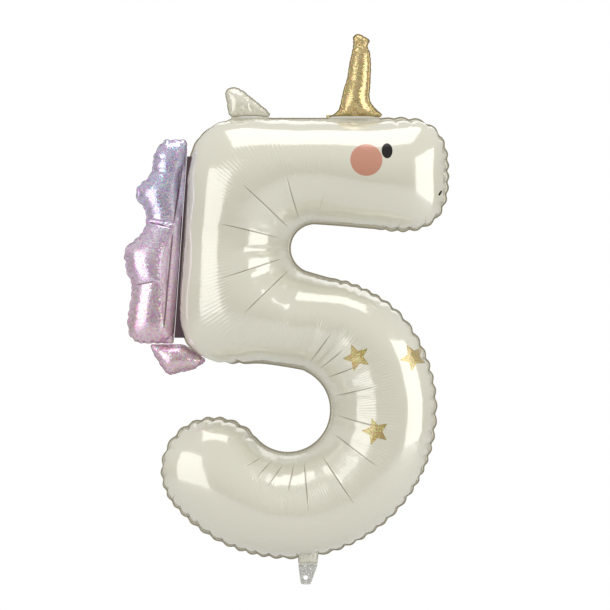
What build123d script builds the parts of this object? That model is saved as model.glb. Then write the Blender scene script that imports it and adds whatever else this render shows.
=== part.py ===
from build123d import *
from math import cos, hypot, radians, sin
import os

# An air- or helium-filled foil balloon in the shape of the numeral 5 with a unicorn's head.
# Every chamber is two foil panels, a front and a back one, welded together round a flat margin.
# Frame, in millimetres: the origin is the centre of the tie hole in the tail tab, +X runs
# towards the muzzle, +Y towards the back and +Z up to the horn.

# Film, welds and folds
foil_wall = 1.0  # wall of one foil panel
rim_wall = 1.3  # the same wall measured across, where the panel rises from its flat margin
weld_margin = 4.5  # width of the flat welded edge round the body
lobe_margin = 3.0  # width of the flat welded edge of the mane, lock, horn and ear
root_film = 0.8  # thickness of a lobe's root strip, held between the two body panels
root_bite = 3.5  # how far a root strip reaches in between the body's margins
root_gap = 1.5  # from the body's margin to a lobe's fold line
fold_gap = 0.7  # slit that stands for the fold line between two folding pieces
skirt_bite = 2.0  # how far a lobe's flat skirt reaches into its first section

# Numeral body
muzzle_tip_x = 245.5
muzzle_length = 84.0  # length of the rounded muzzle end
muzzle_power = 2.7  # roundness of the muzzle outline: 2 is an ellipse, more is squarer
bar_top_z = 801.5
bar_low_z = 611.5  # lower edge of the head, at the muzzle
bar_low_rise = 12.0  # how much higher that edge is beside the notch
notch_x = 16.0
notch_z = 577.0
notch_radius = 46.5
notch_sweep = 160.0  # turn of the stroke round the notch, in degrees
notch_steps = 13
stem_left_x = -213.5
stem_low_z = 378.5
stem_lean = 0.07  # sideways shift of the stem's outer edge per unit of height
corner_power = 5.2  # squareness of the two outer corners of the stem
bowl_x = -31.0
bowl_z = 294.0
bowl_hole_radius = 78.0
bowl_outer_radius = 255.5
bowl_shoulder_dip = 17.0  # how far the bowl's outline runs inside its circle beside the notch
bowl_shoulder_angle = 40.0  # where that dip begins
bowl_start_angle = 74.0
bowl_end_angle = -140.0
bowl_steps = 16
tail_length = 90.0  # length of the rounded free end of the bowl
body_plumpness = 0.405  # height of a panel over the weld plane, as a share of the stroke's width
widest_chord = 215.0  # the foil bulges no higher where the stroke is wider than this
end_turns = (15, 30, 45, 58, 69, 78)  # where a rounded end has its sections, in degrees

# Neck, valve and tie tab
neck_x = 4.0
neck_width = 40.0
neck_end_width = 34.0
neck_end_z = 24.0
neck_leaf = 1.6  # thickness of one leaf of the neck
neck_overlap = 12.0  # how far the neck's leaves run up over the body's edge
valve_width = 24.0
valve_film = 0.45
valve_length = 140.0
valve_play = 0.05
tab_thickness = 1.0
tab_end_width = 17.0
tab_below_hole = 12.0
tab_corner = 5.0
tie_hole_radius = 4.0

# Mane: a wide lobe along the stem's outer edge
mane_top_drop = 49.5  # from the head's upper edge down to the mane's upper end
mane_low_rise = 33.5  # from the stem's lower edge up to the mane's lower end
mane_crown = 29.0
mane_round = 45.0  # length over which the mane fills out from each end
# distance from the mane's upper or lower end, and reach to the left of its root line
mane_top_reach = [(1.36, 51.0), (4.76, 53.5)]
mane_low_reach = [(4.76, 70.0), (1.36, 67.0)]
# share of the mane's height from its upper end, and the same reach
mane_reach = [
    (0.045, 56.0), (0.09, 59.0), (0.15, 69.5), (0.225, 85.0), (0.30, 76.0), (0.38, 62.0),
    (0.46, 78.0), (0.53, 98.5), (0.625, 91.0), (0.74, 76.0), (0.83, 81.0), (0.90, 82.5),
    (0.955, 77.0),
]

# Lock: a small lobe that hangs from the mane's lower end
lock_skirt = 2.0  # flat weld between the mane's end and the fold line, and again below it
# drop below the fold line, reach left and right of the mane's root line, and crown
lock_rings = [
    (1.4, 40.0, 3.0, 4.0), (3.0, 39.5, 4.5, 6.5), (11.0, 37.0, 11.0, 13.0),
    (24.0, 31.0, 24.0, 19.0), (37.0, 26.0, 41.0, 18.0), (46.0, 21.0, 38.0, 12.0),
    (51.5, 16.0, 30.0, 6.0), (53.0, 14.0, 27.0, 4.5),
]

# Horn and ear: upright lobes on the head's upper edge
# height over the root line, left edge X, right edge X and crown
horn_rings = [
    (1.4, 40.0, 129.0, 5.0), (3.5, 45.0, 126.0, 9.0), (14.0, 54.0, 118.0, 19.0),
    (25.0, 59.0, 113.0, 23.0), (40.0, 63.0, 111.0, 22.0), (63.0, 69.0, 111.0, 19.5),
    (91.0, 74.0, 111.0, 17.0), (112.0, 80.0, 110.0, 13.5), (124.0, 86.5, 107.5, 9.5),
    (133.0, 85.0, 110.0, 9.5), (140.0, 87.0, 108.0, 6.0), (142.0, 89.0, 106.0, 4.0),
]
ear_rings = [
    (1.4, -131.0, -66.0, 4.5), (3.5, -132.0, -69.0, 8.0), (10.0, -135.0, -78.0, 13.0),
    (18.0, -136.0, -87.0, 14.0), (28.0, -137.0, -99.0, 11.5), (36.0, -137.0, -109.0, 8.0),
    (42.0, -135.0, -118.0, 4.5), (43.5, -134.0, -121.0, 3.5),
]

front, back = -1, 1
upright_root_z = bar_top_z + weld_margin + root_gap  # fold line of the horn and the ear
mane_top_z = bar_top_z - mane_top_drop
mane_low_z = stem_low_z + mane_low_rise
lock_fold_z = mane_low_z - lock_skirt - fold_gap / 2
bowl_low_z = bowl_z - bowl_outer_radius
passage_half = valve_film + valve_play


def mane_root_x(z):
    """Fold line of the mane: it leans as the stem does and clears the body's margin."""
    return stem_left_x - weld_margin - root_gap + stem_lean * (z - notch_z)


def around(x, z, radius, angle):
    """Point at a radius and an angle from +X, anticlockwise as seen from the front."""
    return (x + radius * cos(radians(angle)), z + radius * sin(radians(angle)))


def bowl_edge_radius(angle):
    """Radius of the bowl's outer edge, a little drawn in beside the notch."""
    share = max(0.0, (angle - bowl_shoulder_angle) / (bowl_start_angle - bowl_shoulder_angle))
    return bowl_outer_radius - bowl_shoulder_dip * share


def stem_edge(angle, outset=0.0):
    """Point of the stem's outer edge that a ray from the notch's centre meets, or one outside it."""
    across = notch_x - stem_left_x
    along = bar_top_z - notch_z if angle <= 180 else notch_z - stem_low_z
    c, s = abs(cos(radians(angle))) / across, abs(sin(radians(angle))) / along
    reach = 1.0 / (c**corner_power + s**corner_power) ** (1.0 / corner_power)
    x, z = around(notch_x, notch_z, reach + outset, angle)
    return (x + stem_lean * (z - notch_z), z)


def span(a, b):
    return hypot(b[0] - a[0], b[1] - a[1])


def body_section(a, b):
    return (a, b, body_plumpness * min(span(a, b), widest_chord))


def rounded_end(edge_a, edge_b, direction, length, power, crown):
    """Sections of a rounded free end that starts at a chord and closes along a direction."""
    mid_x, mid_z = (edge_a[0] + edge_b[0]) / 2, (edge_a[1] + edge_b[1]) / 2
    half_x, half_z = (edge_b[0] - edge_a[0]) / 2, (edge_b[1] - edge_a[1]) / 2
    sections = []
    for turn in end_turns:
        shrink = cos(radians(turn)) ** (2 / power)
        reach = length * sin(radians(turn)) ** (2 / power)
        x, z = mid_x + direction[0] * reach, mid_z + direction[1] * reach
        a = (x - half_x * shrink, z - half_z * shrink)
        b = (x + half_x * shrink, z + half_z * shrink)
        sections.append((a, b, crown * cos(radians(turn))))
    return sections


def body_sections():
    """Chords across the numeral's stroke, from the muzzle to the bowl's free end."""
    muzzle_x = muzzle_tip_x - muzzle_length
    head = []
    for share in (0.0, 0.5):
        x = muzzle_x + (notch_x + notch_radius / 2 - muzzle_x) * share
        head.append(body_section((x, bar_top_z), (x, bar_low_z + bar_low_rise * share)))
    muzzle = rounded_end(head[0][0], head[0][1], (1, 0), muzzle_length, muzzle_power, head[0][2])
    turn = []
    for step in range(notch_steps):
        angle = 90.0 + notch_sweep * step / (notch_steps - 1)
        turn.append(body_section(stem_edge(angle), around(notch_x, notch_z, notch_radius, angle)))
    bowl = []
    for step in range(bowl_steps):
        angle = bowl_start_angle + (bowl_end_angle - bowl_start_angle) * step / (bowl_steps - 1)
        inner = around(bowl_x, bowl_z, bowl_hole_radius, angle)
        bowl.append(body_section(inner, around(bowl_x, bowl_z, bowl_edge_radius(angle), angle)))
    inner, outer, crown = bowl[-1]
    ahead = (sin(radians(bowl_end_angle)), -cos(radians(bowl_end_angle)))
    tail = rounded_end(inner, outer, ahead, tail_length, 2.0, crown)
    return muzzle[::-1] + head + turn + bowl + tail


def section_plane(a, b, side):
    """Plane across a chamber with local X along the chord and local Y out of the panel."""
    middle = Vector((a[0] + b[0]) / 2, 0, (a[1] + b[1]) / 2)
    chord = Vector(b[0] - a[0], 0, b[1] - a[1])
    return Plane(origin=middle, x_dir=chord, z_dir=chord.cross(Vector(0, side, 0)))


def film_plate(outline, low_y, high_y):
    """Flat film with a straight-sided outline in X and Z, between two Y planes."""
    with BuildPart() as plate:
        with BuildSketch(Plane.XZ.offset(-high_y)):
            with BuildLine():
                Polyline(*outline, close=True)
            make_face()
        extrude(amount=high_y - low_y)
    return plate.part


def side_plate(outline, side, thickness):
    """Film on one side of the weld plane."""
    return film_plate(outline, *sorted((0.0, side * thickness)))


def rectangle(x_low, x_high, z_low, z_high):
    return [(x_low, z_low), (x_high, z_low), (x_high, z_high), (x_low, z_high)]


def panel(sections, side, margin, joined=(), cleared=()):
    """One foil panel: a crowned sheet with its flat margin, open towards the other panel."""
    with BuildPart() as hollow:
        for a, b, crown in sections[1:-1]:
            half = span(a, b) / 2 - rim_wall
            with BuildSketch(section_plane(a, b, side)):
                with BuildLine():
                    Polyline((-half, 0), (-half, -2 * foil_wall), (half, -2 * foil_wall), (half, 0))
                    ThreePointArc((half, 0), (0, crown), (-half, 0))
                make_face()
        loft()
    with BuildPart() as sheet:
        for a, b, crown in sections:
            half = span(a, b) / 2
            with BuildSketch(section_plane(a, b, side)):
                with BuildLine():
                    Polyline(
                        (-half, foil_wall), (-half - margin, foil_wall), (-half - margin, 0),
                        (half + margin, 0), (half + margin, foil_wall), (half, foil_wall),
                    )
                    ThreePointArc((half, foil_wall), (0, foil_wall + crown), (-half, foil_wall))
                make_face()
        loft()
        add(hollow.part, mode=Mode.SUBTRACT)
        for plate in joined:
            add(plate)
        for piece in cleared:
            add(piece, mode=Mode.SUBTRACT)
    return sheet.part


def mane_sections():
    height = mane_top_z - mane_low_z
    stations = [(mane_top_z - drop, reach) for drop, reach in mane_top_reach]
    stations += [(mane_top_z - share * height, reach) for share, reach in mane_reach]
    stations += [(mane_low_z + rise, reach) for rise, reach in mane_low_reach]
    sections = []
    for z, reach in stations:
        end = min(mane_top_z - z, z - mane_low_z) / mane_round
        fill = (1.0 - (1.0 - min(end, 1.0)) ** 2) ** 0.5
        root = mane_root_x(z)
        a = (root - fold_gap / 2 - lobe_margin, z)
        sections.append((a, (root - reach + lobe_margin, z), mane_crown * fill))
    return sections


def lock_sections():
    root = mane_root_x(lock_fold_z)
    sections = []
    for drop, left, right, crown in lock_rings:
        z = lock_fold_z - drop
        sections.append(((root + right - lobe_margin, z), (root - left + lobe_margin, z), crown))
    return sections


def upright_sections(rings):
    z = upright_root_z
    return [((left, z + rise), (right, z + rise), crown) for rise, left, right, crown in rings]


def upright_skirt(rings, side):
    """Flat weld at the foot of the horn or the ear, from its fold line into its first section."""
    rise, left, right, crown = rings[0]
    low, high = upright_root_z + fold_gap / 2, upright_root_z + rise + skirt_bite
    return side_plate(
        rectangle(left - lobe_margin, right + lobe_margin, low, high), side, foil_wall
    )


def body_rim(low_x, high_x):
    """Points just outside the body's upper edge, inside its margin, from left to right."""
    outset = weld_margin - root_bite
    rim = [stem_edge(angle, outset) for angle in range(150, 90, -4)]
    rim = [point for point in rim if low_x < point[0] < min(high_x, notch_x)]
    if high_x > notch_x:
        rim.append((high_x, bar_top_z + outset))
    return rim


def upright_strip(rings):
    """Root strip of the horn or the ear, from the body's margin up to the fold line."""
    low_x, high_x = rings[0][1], rings[0][2]
    rim = body_rim(low_x, high_x)
    low_z = bar_top_z + weld_margin - root_bite
    first = (low_x, rim[0][1] if rim and high_x <= notch_x else low_z)
    last = (high_x, rim[-1][1] if rim else low_z)
    inner = [first] + [point for point in rim if point[0] < high_x] + [last]
    top = upright_root_z - fold_gap / 2
    return film_plate(inner + [(high_x, top), (low_x, top)], -root_film / 2, root_film / 2)


def mane_strip():
    """Root strip of the mane, from the stem's margin out to the fold line."""
    rim = [stem_edge(angle, weld_margin - root_bite) for angle in range(120, 240, 6)]
    rim = [point for point in rim if mane_low_z < point[1] < mane_top_z]
    outer = [(mane_root_x(z) + fold_gap / 2, z) for z in (rim[-1][1], rim[0][1])]
    return film_plate(rim + outer, -root_film / 2, root_film / 2)


def neck_leaf_outline():
    top, half, end = bowl_low_z + neck_overlap, neck_width / 2, neck_end_width / 2
    return [
        (neck_x - end, neck_end_z), (neck_x + end, neck_end_z),
        (neck_x + half, bowl_low_z), (neck_x + half, top),
        (neck_x - half, top), (neck_x - half, bowl_low_z),
    ]


def body_panel(side, strips):
    half = valve_width / 2 + valve_play
    top = bowl_low_z + neck_overlap + skirt_bite
    passage = film_plate(
        rectangle(neck_x - half, neck_x + half, neck_end_z - 1, top), -passage_half, passage_half
    )
    leaf = side_plate(neck_leaf_outline(), side, neck_leaf)
    return panel(body_sections(), side, weld_margin, [leaf], [passage, *strips])


def mane_panel(side):
    root = mane_root_x(mane_low_z)
    left, right = root - lock_rings[0][1], root - fold_gap / 2
    skirt = rectangle(left, right, mane_low_z - lock_skirt, mane_low_z + skirt_bite)
    return panel(mane_sections(), side, lobe_margin, [side_plate(skirt, side, foil_wall)])


def lock_panel(side):
    drop, left, right, crown = lock_rings[0]
    root = mane_root_x(lock_fold_z)
    low, high = lock_fold_z - drop - skirt_bite, lock_fold_z - fold_gap / 2
    skirt = rectangle(root - left, root + right, low, high)
    return panel(lock_sections(), side, lobe_margin, [side_plate(skirt, side, foil_wall)])


def upright_panel(rings, side):
    return panel(upright_sections(rings), side, lobe_margin, [upright_skirt(rings, side)])


def valve_sheet(side):
    """One film of the flat sleeve that lets gas in and seals itself."""
    low, half = neck_end_z, valve_width / 2
    outline = rectangle(neck_x - half, neck_x + half, low, low + valve_length)
    return side_plate(outline, side, valve_film)


def tie_tab():
    """Welded end of the tail below the neck, with the punched tie hole at the origin."""
    with BuildPart() as tab:
        with BuildSketch(Plane.XZ.offset(-tab_thickness / 2)):
            with BuildLine():
                Polyline(
                    (neck_x - neck_end_width / 2, neck_end_z - fold_gap),
                    (neck_x + neck_end_width / 2, neck_end_z - fold_gap),
                    (tab_end_width / 2, -tab_below_hole), (-tab_end_width / 2, -tab_below_hole),
                    close=True,
                )
            make_face()
            fillet(vertices().group_by(Axis.Y)[0], tab_corner)
            Circle(tie_hole_radius, mode=Mode.SUBTRACT)
        extrude(amount=tab_thickness)
    return tab.part


def main():
    pieces = {
        "mane_root_strip": mane_strip(),
        "horn_root_strip": upright_strip(horn_rings),
        "ear_root_strip": upright_strip(ear_rings),
    }
    strips = list(pieces.values())
    for side, word in ((front, "front"), (back, "back")):
        pieces[f"body_{word}_panel"] = body_panel(side, strips)
        pieces[f"mane_{word}_panel"] = mane_panel(side)
        pieces[f"mane_lock_{word}_panel"] = lock_panel(side)
        pieces[f"horn_{word}_panel"] = upright_panel(horn_rings, side)
        pieces[f"ear_{word}_panel"] = upright_panel(ear_rings, side)
        pieces[f"valve_{word}_film"] = valve_sheet(side)
    pieces["tie_tab"] = tie_tab()
    os.makedirs("parts", exist_ok=True)
    for name, piece in pieces.items():
        piece.label = name
        export_step(piece, f"parts/{name}.step")


main()
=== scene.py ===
import math
import time

import bpy
import numpy as np
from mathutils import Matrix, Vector, geometry


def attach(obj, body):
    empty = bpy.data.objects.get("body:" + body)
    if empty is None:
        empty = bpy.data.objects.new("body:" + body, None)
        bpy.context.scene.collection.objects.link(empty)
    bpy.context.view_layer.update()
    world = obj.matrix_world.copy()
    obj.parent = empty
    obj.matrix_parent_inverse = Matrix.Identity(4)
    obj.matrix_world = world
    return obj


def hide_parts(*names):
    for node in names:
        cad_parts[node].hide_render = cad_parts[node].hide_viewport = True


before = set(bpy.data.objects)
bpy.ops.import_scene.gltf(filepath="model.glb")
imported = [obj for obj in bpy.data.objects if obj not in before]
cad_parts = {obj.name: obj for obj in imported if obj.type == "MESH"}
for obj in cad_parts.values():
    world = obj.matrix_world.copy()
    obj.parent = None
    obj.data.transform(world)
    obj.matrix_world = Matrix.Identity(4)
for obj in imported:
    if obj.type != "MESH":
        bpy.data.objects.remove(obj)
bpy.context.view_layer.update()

startTime = time.time()


def report(text):
    print(f"[{time.time() - startTime:6.1f} s] {text}")


# outlines, all in metres in the X and Z of the weld plane

def polar(centre, radius, degrees):
    turn = math.radians(degrees)
    return np.array([centre[0] + radius * math.cos(turn), centre[1] + radius * math.sin(turn)])


def smoothRows(rows, steps):
    # Catmull-Rom curve through the rows
    rows = np.asarray(rows, float)
    padded = np.vstack([2 * rows[0] - rows[1], rows, 2 * rows[-1] - rows[-2]])
    t = (np.arange(steps) / steps)[:, None]
    out = []
    for i in range(len(rows) - 1):
        a, b, c, d = padded[i:i + 4]
        out.append(0.5 * (2 * b + (c - a) * t + (2 * a - 5 * b + 4 * c - d) * t**2
                          + (3 * b - a - 3 * c + d) * t**3))
    out.append(rows[-1:])
    return np.vstack(out)


def smoothLoop(points, steps):
    # closed curve through unevenly spaced points, without overshoot
    points = np.asarray(points, float)
    after, before = np.roll(points, -1, 0), np.roll(points, 1, 0)
    size = np.linalg.norm(after - points, axis=1)
    tangent = (after - before) / (size + np.roll(size, 1))[:, None]
    out = []
    for t in np.arange(steps) / steps:
        out.append((2 * t**3 - 3 * t**2 + 1) * points + (3 * t**2 - 2 * t**3) * after
                   + size[:, None] * ((t**3 - 2 * t**2 + t) * tangent + (t**3 - t**2) * np.roll(tangent, -1, 0)))
    return np.stack(out, 1).reshape(-1, 2)


def evenLoop(loop, spacing):
    # points at an even spacing round a closed outline, always anticlockwise
    x, z = loop[:, 0], loop[:, 1]
    if np.sum(x * np.roll(z, -1) - np.roll(x, -1) * z) < 0:
        loop = loop[::-1]
    closed = np.vstack([loop, loop[:1]])
    along = np.concatenate([[0], np.cumsum(np.linalg.norm(np.diff(closed, axis=0), axis=1))])
    count = int(round(along[-1] / spacing))
    stations = np.arange(count) * along[-1] / count
    points = np.stack([np.interp(stations, along, closed[:, k]) for k in (0, 1)], 1)
    return points, stations, along[-1]


def loopNormals(loop):
    tangent = np.roll(loop, -1, 0) - np.roll(loop, 1, 0)
    tangent /= np.linalg.norm(tangent, axis=1)[:, None]
    return np.stack([tangent[:, 1], -tangent[:, 0]], 1)


def loopBend(loop, spacing, reach=5):
    # curvature, positive where the outline is convex
    normal = loopNormals(loop)
    angle = np.arctan2(normal[:, 1], normal[:, 0])
    turn = np.roll(angle, -reach) - np.roll(angle, reach)
    turn = (turn + np.pi) % (2 * np.pi) - np.pi
    bend = turn / (2 * reach * spacing)
    for _ in range(20):
        bend = (np.roll(bend, 1) + bend + np.roll(bend, -1)) / 3
    return bend


# the film: lay out, inflate, weld

def layMesh(rim, lines, spacing):
    # even triangles inside the rim, with edges along every crease line
    low, high = rim.min(0), rim.max(0)
    rows = []
    for k, z in enumerate(np.arange(low[1], high[1], spacing * math.sqrt(3) / 2)):
        x = np.arange(low[0] + (k % 2) * spacing / 2, high[0], spacing)
        rows.append(np.stack([x, np.full_like(x, z)], 1))
    grid = np.vstack(rows)
    inside = np.zeros(len(grid), bool)
    for p, q in zip(rim, np.roll(rim, -1, 0)):
        crosses = (p[1] > grid[:, 1]) != (q[1] > grid[:, 1])
        rise = q[1] - p[1] if q[1] != p[1] else 1e-12
        inside ^= crosses & (grid[:, 0] < (q[0] - p[0]) * (grid[:, 1] - p[1]) / rise + p[0])
    grid = grid[inside]
    fixed = np.vstack([rim] + [line["points"] for line in lines])
    room = np.full(len(grid), 9.0)
    for p in fixed:
        room = np.minimum(room, np.hypot(grid[:, 0] - p[0], grid[:, 1] - p[1]))
    points = np.vstack([fixed, grid[room > 0.7 * spacing]])
    edges = [(k, (k + 1) % len(rim)) for k in range(len(rim))]
    first = len(rim)
    for line in lines:
        count = len(line["points"])
        edges += [(first + k, first + k + 1) for k in range(count - 1)]
        line["index"] = np.arange(first, first + count)
        first += count
    laid = geometry.delaunay_2d_cdt([Vector(p) for p in points], edges, [], 1, 1e-7)
    source = np.array([origin[0] if origin else -1 for origin in laid[3]])
    faces = np.array([tuple(face) for face in laid[2]])
    place = np.array([(v.x, v.y) for v in laid[0]])
    back = np.full(len(points), -1)
    back[source[source >= 0]] = np.flatnonzero(source >= 0)
    for line in lines:
        line["index"] = back[line["index"]]
        line["index"] = line["index"][line["index"] >= 0]
    rimIndex = back[:len(rim)]
    return place, faces, rimIndex


def colourEdges(edges, count):
    # groups of edges that share no point, so that each group can be moved at once
    used = [set() for _ in range(count)]
    colour = np.empty(len(edges), int)
    for k, (i, j) in enumerate(edges.tolist()):
        c = 0
        while c in used[i] or c in used[j]:
            c += 1
        used[i].add(c)
        used[j].add(c)
        colour[k] = c
    return [np.flatnonzero(colour == c) for c in range(colour.max() + 1)]


def faceNormals(place, faces):
    return np.cross(place[faces[:, 1]] - place[faces[:, 0]], place[faces[:, 2]] - place[faces[:, 0]])


def inflateFilm(start, flat, faces, held, air, steps):
    # gas pressure on a film that hardly stretches: flat gives the rest lengths
    facing = {}
    across = []
    for face in faces.tolist():
        for k in range(3):
            i, j, other = face[k], face[(k + 1) % 3], face[(k + 2) % 3]
            pair = (min(i, j), max(i, j))
            if pair in facing:
                across.append((facing[pair], other))
            else:
                facing[pair] = other
    free = np.where(held, 0.0, 1.0)

    def springs(pairs):
        pairs = np.array(pairs)
        rest = np.linalg.norm(flat[pairs[:, 0]] - flat[pairs[:, 1]], axis=1)
        groups = []
        for group in colourEdges(pairs, len(start)):
            i, j = pairs[group].T
            total = free[i] + free[j]
            moves = total > 0
            i, j, total = i[moves], j[moves], total[moves]
            groups.append((i, j, rest[group][moves], (free[i] / total)[:, None], (free[j] / total)[:, None]))
        return groups

    film, bend = springs(list(facing)), springs(across)
    chance = np.random.default_rng(air["seed"])
    place = start + chance.normal(0, air["noise"], start.shape) * free[:, None]
    speed = np.zeros_like(place)
    area = air["mesh"] ** 2 * math.sqrt(3)
    for _ in range(steps):
        normal = faceNormals(place, faces)
        push = np.zeros_like(place)
        for corner in range(3):
            for axis in range(3):
                push[:, axis] += np.bincount(faces[:, corner], normal[:, axis], len(place))
        before = place
        speed = speed * air["drag"] + push * (air["pressure"] / area)
        place = place + speed * free[:, None]
        for i, j, rest, ki, kj in film:
            way = place[j] - place[i]
            size = np.sqrt((way * way).sum(1))
            pull = (size - rest) / size
            pull = np.where(pull > 0, pull, pull * air["crush"])[:, None]
            place[i] += way * (pull * ki)
            place[j] -= way * (pull * kj)
        for i, j, rest, ki, kj in bend:
            way = place[j] - place[i]
            size = np.sqrt((way * way).sum(1))
            pull = np.minimum((size - rest) / size, 0)[:, None] * air["stiffness"]
            place[i] += way * (pull * ki)
            place[j] -= way * (pull * kj)
        place[:, 1] = np.minimum(place[:, 1], np.where(held, place[:, 1], -0.0003))
        speed = place - before
    return place


def puckers(rim, stations, total, bend, spec):
    # scalloped rim: small scallops everywhere that the rim is convex, and a groove at each wide pillow
    convex = np.clip(bend / spec["convexBend"], spec["leastScallop"], 1)
    drift = 0.9 * np.sin(stations / total * 2 * np.pi * 7 + 1) + 0.6 * np.sin(stations / total * 2 * np.pi * 17)
    if "calm" in spec:
        inCalm = np.all([rim @ np.array(way) > limit for *way, limit in spec["calm"]], axis=0)
        convex = convex * np.where(inCalm, 0.25, 1.0)
        for _ in range(6):
            convex = (np.roll(convex, 1) + convex + np.roll(convex, -1)) / 3
    turns = stations / spec["scallopLength"] * np.pi + drift
    wave = np.abs(np.sin(turns)) ** 0.8 - 0.55
    normal = loopNormals(rim)
    moved = rim + normal * (spec["scallopDepth"] * convex * wave)[:, None]
    grooves = []
    chance = np.random.default_rng(spec["seed"])
    for k in np.flatnonzero((np.sin(turns) > 0) != (np.sin(np.roll(turns, -1)) > 0)):
        if convex[k] > 0.35:
            length = spec["grooveLength"] * (0.45 + 0.75 * chance.random() ** 2) * convex[k]
            lean = 0.25 * (chance.random() - 0.5)
            way = -normal[k] + lean * np.array([normal[k][1], -normal[k][0]])
            grooves.append((k, way, length))
    return moved, grooves, turns / np.pi, convex


def weldRing(place, rimIndex, faces, width, normal):
    # flat welded edge round the chamber, in two rows
    rows = [rimIndex]
    out = [place]
    count = len(place)
    faces = [tuple(face) for face in faces]
    for share in (0.5, 1.0):
        ring = place[rimIndex].copy()
        ring[:, [0, 2]] += normal * (width * share)
        ring[:, 1] = -0.00025
        out.append(ring)
        rows.append(np.arange(count, count + len(ring)))
        count += len(ring)
    for inner, outer in zip(rows, rows[1:]):
        for k in range(len(inner)):
            n = (k + 1) % len(inner)
            faces.append((inner[k], outer[k], outer[n], inner[n]))
    return np.vstack(out), faces


def buildPanel(name, place, faces, creases, values):
    mesh = bpy.data.meshes.new(name)
    mesh.from_pydata(place.tolist(), [], [tuple(int(i) for i in face) for face in faces])
    panel = bpy.data.objects.new(name, mesh)
    bpy.context.collection.objects.link(panel)
    for label, value in values.items():
        if value.ndim == 1:
            mesh.attributes.new(label, "FLOAT", "POINT").data.foreach_set("value", value.astype("f"))
        else:
            layer = mesh.uv_layers.new(name=label)
            corner = np.empty(len(mesh.loops), int)
            mesh.loops.foreach_get("vertex_index", corner)
            layer.data.foreach_set("uv", value[corner].astype("f").ravel())
    sharp = {(min(a, b), max(a, b)) for line in creases for a, b in zip(line, line[1:])}
    layer = mesh.attributes.new("crease_edge", "FLOAT", "EDGE")
    ends = np.empty(len(mesh.edges) * 2, int)
    mesh.edges.foreach_get("vertices", ends)
    ends = ends.reshape(-1, 2)
    ends.sort(axis=1)
    layer.data.foreach_set("value", [1.0 if tuple(pair) in sharp else 0.0 for pair in ends.tolist()])
    mesh.validate()
    bpy.ops.object.select_all(action="DESELECT")
    panel.select_set(True)
    bpy.context.view_layer.objects.active = panel
    bpy.ops.object.shade_smooth()
    rounding = panel.modifiers.new("rounding", "SUBSURF")
    rounding.levels = rounding.render_levels = 1
    rounding.boundary_smooth = "ALL"
    bpy.ops.object.modifier_apply(modifier=rounding.name)
    return panel


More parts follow.
